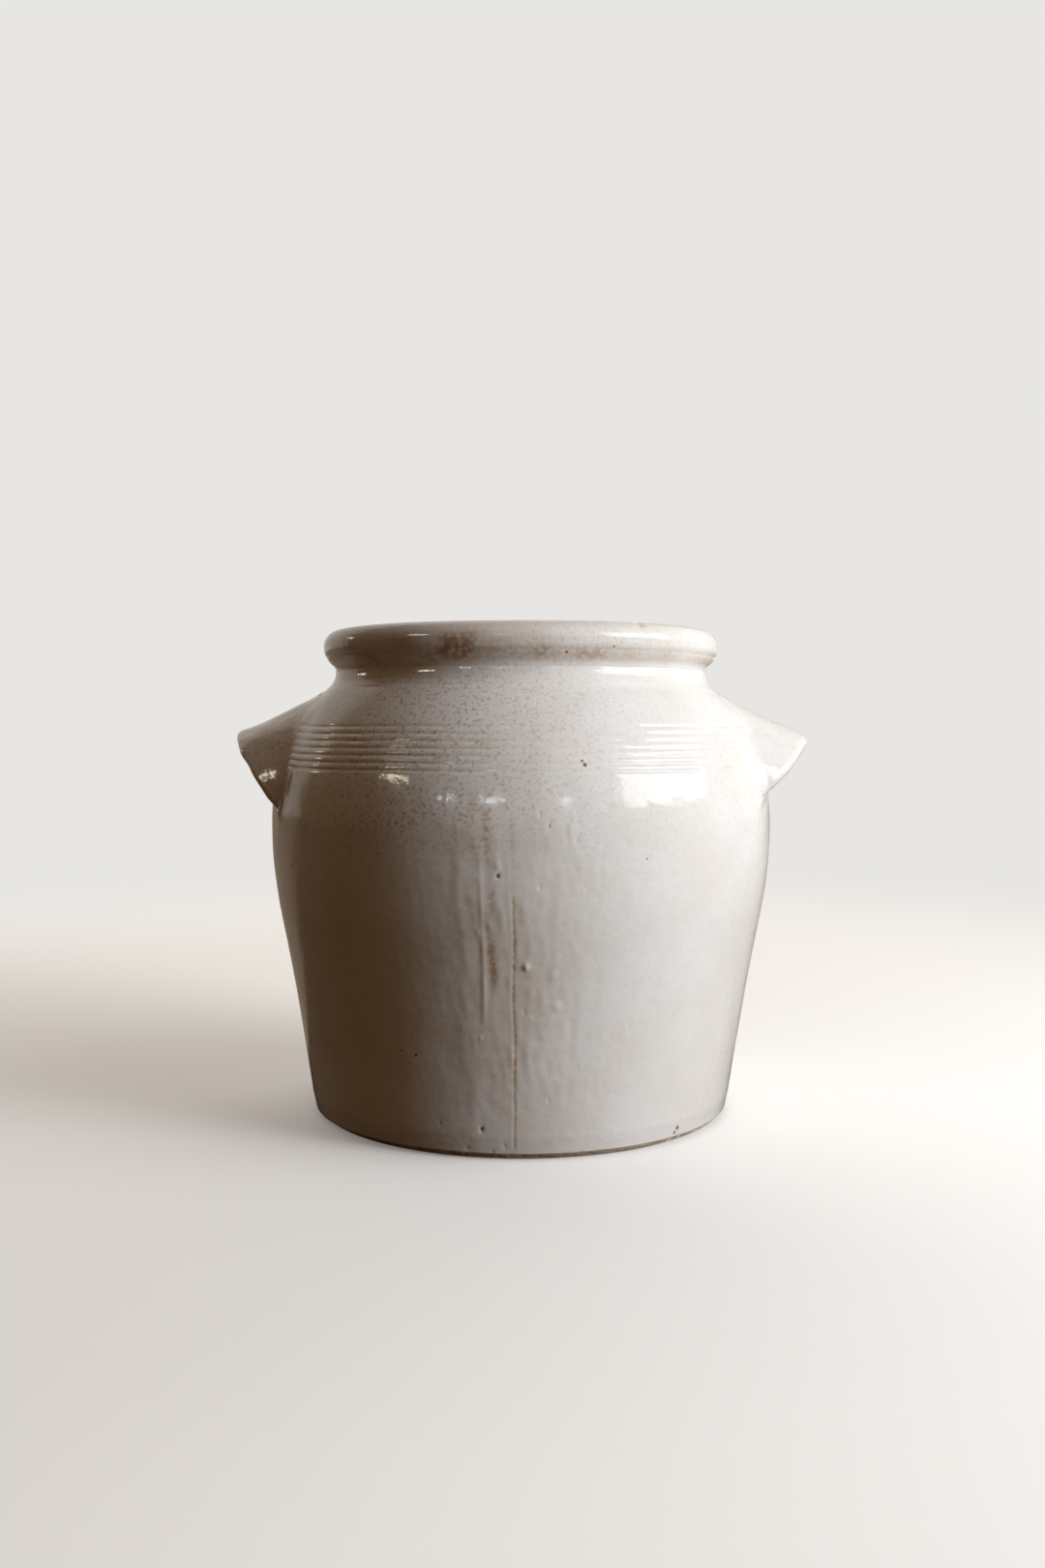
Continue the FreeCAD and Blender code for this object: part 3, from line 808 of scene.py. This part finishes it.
def make_floor(top, inner_glaze, clay):
    """Floor disc: glazed above, bare clay below with a worn bevel."""
    foot = FOOT_RADIUS - 0.1
    flat = foot - 9.0
    bevel = np.array([
        (flat, 0.0), (foot - 4.0, 0.0), (foot - 2.9, 0.3), (foot - 1.6, 1.5),
        (foot - 0.4, 2.7), (foot, FOOT_BEVEL + 0.3), (foot, FOOT_BEVEL + 1.4),
    ])
    underside = resample(straight((AXIS_HOLE, 0.0), (flat, 0.0)), FLOOR_GAP)
    line = chain(underside, resample(bevel, BEVEL_GAP))
    radii = line[:, :1]
    heights = line[:, 1:]
    ring = turned(line)
    # The bevel is rough and nicked, and the underside dips upwards in places
    rough = 0.15 * waves(ring, 9, seed=51) + 0.08 * waves(ring, 3.5, seed=52)
    nicks = -1.1 * ease(waves(ring, 8, seed=53), 1.4, 2.3)
    shown = span(heights, 0.6, FOOT_BEVEL + 0.8, 0.5)
    ring[..., :2] *= 1 + ((rough + nicks) * shown / np.maximum(radii, 1))[..., None]
    dips = np.clip(0.12 * waves(ring, 11, seed=54), 0, None)
    ring[..., 2] += np.where(heights < 0.1, dips, 0)
    seat = np.array([(BASE_RADIUS - GLAZE - 0.2, FLOOR_TOP), (outline_points[joint_rows[2]][0], FLOOR_TOP)])
    points = np.vstack([ring, turned(seat), top])
    last = len(points) - 1
    columns = len(BEARINGS)
    top_start = len(ring) + len(seat)
    seen = np.ones(last, bool)
    seen[len(ring) - 1:top_start] = False
    glazed = (np.arange(last) >= top_start).astype(int)
    shell = Shell("pot_floor", points.reshape(-1, 3))
    faces = grid_faces(last + 1, columns, close_columns=True)
    shell.add_faces(faces, np.repeat(seen, columns), np.repeat(glazed, columns))
    around = np.arange(columns)
    for row, corners, material in ((0, around[::-1], 0), (last, around + last * columns, 1)):
        shell.add_fan(corners, (0, 0, float(points[row, :, 2].mean())), True, material)
    return shell.piece([clay, inner_glaze], {})


# Ears

def ear_rows(hood, angle, lip):
    """Rows of points over the ear's outside, round its lip, up its hollow and back to its root."""
    rows = []
    half = EAR_THICKNESS / 2
    lip_depth = lip - GLAZE
    # Outside, from the buried root to the lip, swelling where it meets the wall
    start = np.maximum(hood.depth_at(angle, -EAR_BURIED), lip_depth)
    for share in np.linspace(0, 1, EAR_ROWS):
        rows.append(hood.swollen(angle, start + (lip_depth - start) * share))
    # Rounded lip
    power = 2 / EAR_LIP_SQUARENESS
    for turn in np.linspace(0, math.pi, LIP_ROWS)[1:-1]:
        shift = half * math.copysign(abs(math.cos(turn)) ** power, math.cos(turn))
        rise = lip * math.sin(turn) ** power
        rows.append(hood.swollen(angle, lip_depth - rise, half - shift, max(math.cos(turn), 0)))
    # Inside, from the lip to the buried root of the hollow
    root = np.maximum(hood.depth_at(angle, -EAR_BURIED, EAR_THICKNESS), lip_depth)
    for share in np.linspace(0, 1, HOLLOW_ROWS):
        rows.append(hood.points(angle, lip_depth + (root - lip_depth) * share, EAR_THICKNESS))
    # Back through the wall to the outer root
    back = hood.depth_at(angle, -EAR_BURIED - 1.0)
    rows.append(hood.points(angle, np.maximum(back, lip_depth + 0.5), half))
    return rows


def shaped_by_hand(grid, side, seed):
    """The grid with the unevenness of a piece shaped by hand, away from the wall."""
    normals = side * unit(np.cross(np.gradient(grid, axis=0), np.gradient(grid, axis=1)))
    relief = 0.40 * waves(grid, 38, seed)
    relief += 0.08 * waves(grid, 13, seed + 1)
    relief += 0.02 * waves(grid, 5, seed + 2)
    free = ease(wall_distance(grid), 0.5, 6)
    return grid + normals * (relief * free)[..., None]


def make_ear(ear, glaze, seed):
    """One hooded ear: a shell with a rounded lip, its root smeared onto the wall."""
    hood = Hood(ear)
    limit = hood.widest_angle()
    angle = np.linspace(-limit, limit, EAR_COLUMNS)
    lip = EAR_ROOT_LIP + (hood.tip_lip - EAR_ROOT_LIP) * np.clip(np.cos(angle), 0, 1) ** 2
    grid = shaped_by_hand(np.stack(ear_rows(hood, angle, lip)), hood.side, seed)
    # Nothing reaches past the CAD ear
    low, high = box_mm("outer_glaze")
    grid[..., 0] = np.clip(grid[..., 0], low[0] + 0.02, high[0] - 0.02)
    points = grid.reshape(-1, 3)
    shell = Shell(ear + "_hood", points, inside_out=hood.side > 0)
    shell.add_faces(grid_faces(len(grid), EAR_COLUMNS, close_rows=True), True)
    first = np.arange(len(grid)) * EAR_COLUMNS
    for ring in (first, (first + EAR_COLUMNS - 1)[::-1]):
        shell.add_fan(ring, points[ring].mean(0), False)
    marks = {mark: np.zeros(grid.shape[:2]) for mark in MARKS}
    speckle = EARS[ear][-1]
    marks["speckle"] = speckle * (1 + 0.5 * waves(grid, 20, seed + 3))
    marks["stain_and_warm_shade"] = 0.5 * speckle * ease(waves(grid, 22, seed + 4), 0.2, 1.8)
    piece = shell.piece([glaze], marks)
    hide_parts(ear)


# Materials

class Nodes:
    """A tree of shader nodes."""

    def __init__(self, tree):
        self.tree = tree

    def add(self, kind, inputs, output=0, **settings):
        """An output of a new node."""
        node = self.tree.nodes.new("ShaderNode" + kind)
        for name, value in settings.items():
            setattr(node, name, value)
        self.feed(node, inputs)
        return node.outputs[output] if node.outputs else None

    def feed(self, node, inputs):
        """Link outputs to a node's inputs, or write numbers, places or colours into them."""
        for name, value in inputs.items():
            socket = node.inputs[name]
            if isinstance(value, bpy.types.NodeSocket):
                self.tree.links.new(value, socket)
            elif socket.type == "RGBA":
                socket.default_value = (*value, 1.0)
            else:
                socket.default_value = value

    def ramp(self, value, low, high, start=0.0, end=1.0, shape="SMOOTHSTEP"):
        """value carried from low..high to start..end."""
        inputs = {"Value": value, "From Min": low, "From Max": high, "To Min": start, "To Max": end}
        return self.add("MapRange", inputs, "Result", interpolation_type=shape)

    def blend(self, share, first, second):
        """Shader that goes over from the first to the second."""
        return self.add("MixShader", {0: share, 1: first, 2: second})

    def split(self, ray, seen, other):
        """Shader that one kind of ray sees one way and all others another way."""
        return self.blend(self.add("LightPath", {}, ray), other, seen)


class Recipe(Nodes):
    """The nodes of a piece's material."""

    def __init__(self, name):
        self.material = bpy.data.materials.new(name)
        self.material.use_nodes = True
        super().__init__(self.material.node_tree)
        self.place = self.add("TexCoord", {}, "Object")

    def finish(self, inputs):
        """Feed the shader and return the material."""
        self.feed(self.tree.nodes["Principled BSDF"], inputs)
        return self.material

    def noise(self, length, detail=2.0, shift=(0, 0, 0)):
        """Noise of a length in millimetres, about 0 to 1."""
        place = self.add("Mapping", {"Vector": self.place, "Location": shift})
        return self.add("TexNoise", {"Vector": place, "Scale": 1 / (length * MM), "Detail": detail}, "Fac")

    def dots(self, length):
        """Distance to the nearest of scattered points, in shares of their spacing."""
        return self.add("TexVoronoi", {"Vector": self.place, "Scale": 1 / (length * MM)}, "Distance")

    def plus(self, first, second):
        return self.add("Math", {0: first, 1: second}, operation="ADD")

    def times(self, first, second):
        return self.add("Math", {0: first, 1: second}, operation="MULTIPLY")

    def mark(self, name):
        return self.add("Attribute", {}, "Fac", attribute_name=name)

    def mix(self, share, first, second):
        return self.add("MixRGB", {"Fac": share, "Color1": first, "Color2": second})

    def bump(self, height, distance, **below):
        """Normal of a height of so many millimetres; Normal=... puts it on top of another."""
        return self.add("Bump", {"Distance": distance * MM, "Height": height, **below})


CLAY = (0.56, 0.43, 0.30)
CLAY_PALE = (0.70, 0.60, 0.47)
CLAY_DARK = (0.24, 0.15, 0.09)
GLAZE_WHITE = (0.81, 0.80, 0.78)
GLAZE_WARM = (0.72, 0.68, 0.61)
GLAZE_BROWN = (0.30, 0.165, 0.075)
GLAZE_IRON = (0.13, 0.06, 0.028)
GLAZE_TAN = (0.61, 0.48, 0.36)
CLAY_ROUGHNESS = 0.85
GLAZE_IOR = 1.52
# Iron speckle: spacing in millimetres, where a dot starts and stops to fade, and its strength
SPECKLE = ((2.2, 0.10, 0.26, 0.26), (1.1, 0.12, 0.36, 0.26), (6.5, 0.05, 0.11, 0.7))


def clay_material():
    """Bare fired stoneware, matt and grainy."""
    recipe = Recipe("bare_stoneware_clay")
    grain = recipe.noise(2.2, detail=4)
    pale = recipe.ramp(recipe.noise(18, detail=3), 0.35, 0.65)
    tone = recipe.mix(pale, CLAY, CLAY_PALE)
    tone = recipe.mix(recipe.ramp(grain, 0.58, 0.72, end=0.6), tone, CLAY_DARK)
    normal = recipe.bump(grain, 0.25)
    return recipe.finish({"Base Color": tone, "Roughness": CLAY_ROUGHNESS, "Normal": normal})


def glaze_material(name, marked):
    """Glossy off-white glaze with orange peel; marked adds stain with some painted warm shade, speckle and
    bare clay.
    """
    recipe = Recipe(name)
    clouds = recipe.ramp(recipe.noise(70, detail=3), 0.35, 0.68, end=0.55)
    mottle = recipe.ramp(recipe.noise(7, detail=4, shift=(3, 1, 2)), 0.4, 0.75, end=0.28)
    tone = recipe.mix(clouds, GLAZE_WHITE, GLAZE_WARM)
    tone = recipe.mix(mottle, tone, GLAZE_WARM)
    smears = recipe.noise(16, detail=3, shift=(5, 0, 1))
    roughness = recipe.ramp(smears, 0.3, 0.7, start=0.05, end=0.14)
    if marked:
        tone, roughness = with_marks(recipe, tone, roughness)
    peel = recipe.bump(recipe.noise(5.0, shift=(2, 2, 2)), 0.07)
    normal = recipe.bump(recipe.noise(1.3), 0.035, Normal=peel)
    inputs = {"Base Color": tone, "Roughness": roughness, "IOR": GLAZE_IOR, "Normal": normal}
    return recipe.finish(inputs)


def with_marks(recipe, tone, roughness):
    """Tone and roughness with the marks that the mesh carries."""
    broken = recipe.ramp(recipe.noise(3.2, detail=5, shift=(1, 4, 2)), 0.25, 0.6, start=0.4)
    # The stain mark carries brown stain and some painted warm shade; tan and brown paint both
    stain_and_warm_shade = recipe.times(recipe.mark("stain_and_warm_shade"), broken)
    tone = recipe.mix(recipe.ramp(stain_and_warm_shade, -0.15, 0.7, end=0.7), tone, GLAZE_TAN)
    tone = recipe.mix(recipe.ramp(stain_and_warm_shade, 0.3, 1.1, end=0.85), tone, GLAZE_BROWN)
    spread = recipe.plus(recipe.mark("speckle"), 0.10)
    for spacing, low, high, strength in SPECKLE:
        dot = recipe.ramp(recipe.dots(spacing), low, high, start=strength, end=0)
        rare = recipe.ramp(recipe.noise(spacing * 2.3, detail=1, shift=(spacing, 0, 0)), 0.40, 0.56)
        tone = recipe.mix(recipe.times(recipe.times(dot, rare), spread), tone, GLAZE_IRON)
    rust = recipe.ramp(recipe.noise(2.0, detail=5, shift=(7, 1, 3)), 0.50, 0.70, end=0.55)
    tone = recipe.mix(recipe.times(rust, spread), tone, GLAZE_BROWN)
    tone = recipe.mix(recipe.ramp(recipe.mark("dark"), 0.25, 0.75, end=0.9), tone, GLAZE_IRON)
    ragged = recipe.plus(recipe.mark("bare"), recipe.noise(2.0, detail=3))
    laid_bare = recipe.ramp(ragged, 0.85, 1.05)
    tone = recipe.mix(laid_bare, tone, CLAY_PALE)
    for share, rougher in ((laid_bare, 0.6), (stain_and_warm_shade, 0.12)):
        roughness = recipe.plus(roughness, recipe.times(share, rougher))
    return tone, roughness


# Camera, stage and lights

def make_camera():
    data = bpy.data.cameras.new("camera")
    data.sensor_width = SENSOR
    data.lens = FOCAL_PIXELS / PICTURE_HEIGHT * SENSOR
    data.shift_y = (HORIZON_ROW - PICTURE_HEIGHT / 2) / PICTURE_HEIGHT
    camera = bpy.data.objects.new("camera", data)
    offset = (PICTURE_WIDTH / 2 - AXIS_COLUMN) / FOCAL_PIXELS * CAMERA_DISTANCE
    camera.location = (offset * MM, -CAMERA_DISTANCE * MM, CAMERA_HEIGHT * MM)
    camera.rotation_euler = (math.pi / 2, 0, 0)
    bpy.context.scene.collection.objects.link(camera)
    bpy.context.scene.camera = camera


STAGE_REACH = 6.0
STAGE_LEVEL = -0.05
PAPER = (0.80, 0.79, 0.77)
PAPER_GLOW = 0.20
BROWN_TABLE = (0.07, 0.038, 0.02)
ROOM = (0.115, 0.067, 0.033)
SKY = (0.80, 0.79, 0.77)
PALE_WALL = (0.60, 0.56, 0.51)
WALL_FOOT = (0.24, 0.19, 0.14)
# Where the pale wall starts and ends to show, as the share of a direction that points backwards
WALL_START = 0.44
WALL_END = 0.51
# Where the floor starts and ends to fade into the backdrop, in metres
FADE_START = 0.5
FADE_END = 1.5


def in_the_room(nodes, direction, camera, plain, wall):
    """Shader for the camera, plain for light, and in the gloss a wall behind, by direction from the pot."""
    behind = nodes.add("SeparateXYZ", {0: direction}, "Y")
    gloss = nodes.blend(nodes.ramp(behind, WALL_START, WALL_END, shape="LINEAR"), plain, wall)
    return nodes.split("Is Camera Ray", camera, nodes.split("Is Glossy Ray", gloss, plain))


def make_stage():
    """Pale floor with the pot's shadow; for all but the camera it is a dark warm table."""
    mesh = bpy.data.meshes.new("floor")
    sides = ((-1, -1), (1, -1), (1, 1), (-1, 1))
    corners = [(x * STAGE_REACH, y * STAGE_REACH, STAGE_LEVEL * MM) for x, y in sides]
    mesh.from_pydata(corners, [], [(0, 1, 2, 3)])
    floor = bpy.data.objects.new("floor", mesh)
    bpy.context.scene.collection.objects.link(floor)
    material = bpy.data.materials.new("floor_paper")
    material.use_nodes = True
    nodes = Nodes(material.node_tree)
    nodes.tree.nodes.clear()
    paper = nodes.add("BsdfDiffuse", {"Color": PAPER})
    glow = nodes.add("Emission", {"Color": PAPER, "Strength": PAPER_GLOW})
    both = nodes.add("AddShader", {0: paper, 1: glow})
    # The floor fades into the backdrop with its distance from the pot
    place = nodes.add("TexCoord", {}, "Object")
    distance = nodes.add("VectorMath", {0: place}, "Value", operation="LENGTH")
    far = nodes.add("Emission", {"Color": SKY})
    camera = nodes.blend(nodes.ramp(distance, FADE_START, FADE_END), both, far)
    # In the gloss the wall behind the pot stands on the table
    table = nodes.add("BsdfDiffuse", {"Color": BROWN_TABLE})
    wall = nodes.add("Emission", {"Color": WALL_FOOT})
    direction = nodes.add("VectorMath", {0: place}, operation="NORMALIZE")
    nodes.add("OutputMaterial", {"Surface": in_the_room(nodes, direction, camera, table, wall)})
    mesh.materials.append(material)


def make_world():
    """Pale for the camera; a dim warm room for light, with a pale wall behind in the gloss."""
    world = bpy.data.worlds.new("room")
    world.use_nodes = True
    nodes = Nodes(world.node_tree)
    nodes.tree.nodes.clear()
    backdrop, room, wall = [nodes.add("Background", {"Color": tone}) for tone in (SKY, ROOM, PALE_WALL)]
    direction = nodes.add("TexCoord", {}, "Generated")
    nodes.add("OutputWorld", {"Surface": in_the_room(nodes, direction, backdrop, room, wall)})
    bpy.context.scene.world = world


DAYLIGHT = (0.97, 1.0, 1.04)
SKYLIGHT = (0.96, 1.0, 1.05)
LAMPLIGHT = (1.0, 0.88, 0.66)
HALL_LIGHT = (0.80, 0.88, 1.0)
ROOM_LIGHT = (1.0, 0.97, 0.92)
# Lamps: name, whether it lights the clay and whether it shows in the gloss, then its bearing from the
# camera's side to the right, its elevation, breadth and height in degrees, brightness and colour
LAMPS = (
    ("window", True, True, 68, 21, 42, 22, 5.2, DAYLIGHT),
    ("window_core", True, False, 62, 8, 20, 20, 15.6, DAYLIGHT),
    ("sky", True, False, 66, 45, 50, 30, 1.6, SKYLIGHT),
    ("back_fill", True, False, 188, 30, 96, 44, 1.7, ROOM_LIGHT),
    ("warm_lamp", False, True, -58, 23, 10, 4, 14.0, LAMPLIGHT),
    ("warm_lamp_left", False, True, -112, 18, 3.5, 4, 11.0, LAMPLIGHT),
    ("doorway_left", False, True, -31, 14, 3, 4, 10.0, HALL_LIGHT),
    ("doorway", False, True, -11, 15, 9, 2.5, 10.0, HALL_LIGHT),
    ("doorway_right", False, True, 19, 14, 4, 4, 8.0, HALL_LIGHT),
)
LAMP_DISTANCE = 1.6
LAMP_TARGET = Vector((0, 0, 0.19))


def make_lamps():
    for name, lights, shines, bearing, elevation, breadth, height, brightness, colour in LAMPS:
        bearing, elevation = math.radians(bearing), math.radians(elevation)
        direction = Vector((
            math.sin(bearing) * math.cos(elevation),
            -math.cos(bearing) * math.cos(elevation),
            math.sin(elevation),
        ))
        data = bpy.data.lights.new(name, "AREA")
        data.shape = "RECTANGLE"
        half_angles = math.radians(breadth / 2), math.radians(height / 2)
        data.size, data.size_y = [2 * LAMP_DISTANCE * math.tan(angle) for angle in half_angles]
        data.energy = brightness * math.pi * data.size * data.size_y
        data.color = colour
        lamp = bpy.data.objects.new(name, data)
        lamp.location = LAMP_TARGET + direction * LAMP_DISTANCE
        lamp.rotation_euler = direction.to_track_quat("Z", "Y").to_euler()
        lamp.visible_diffuse = lights
        lamp.visible_glossy = shines
        bpy.context.scene.collection.objects.link(lamp)


make_camera()
make_world()
make_stage()
make_lamps()

clay = clay_material()
glaze = glaze_material("outer_glaze_gloss", marked=True)
inner_glaze = glaze_material("inner_glaze_gloss", marked=False)
make_turned_pieces(glaze, inner_glaze, clay)
make_ear("left_ear", glaze, seed=71)
make_ear("right_ear", glaze, seed=81)

bpy.context.scene.view_settings.view_transform = "Standard"
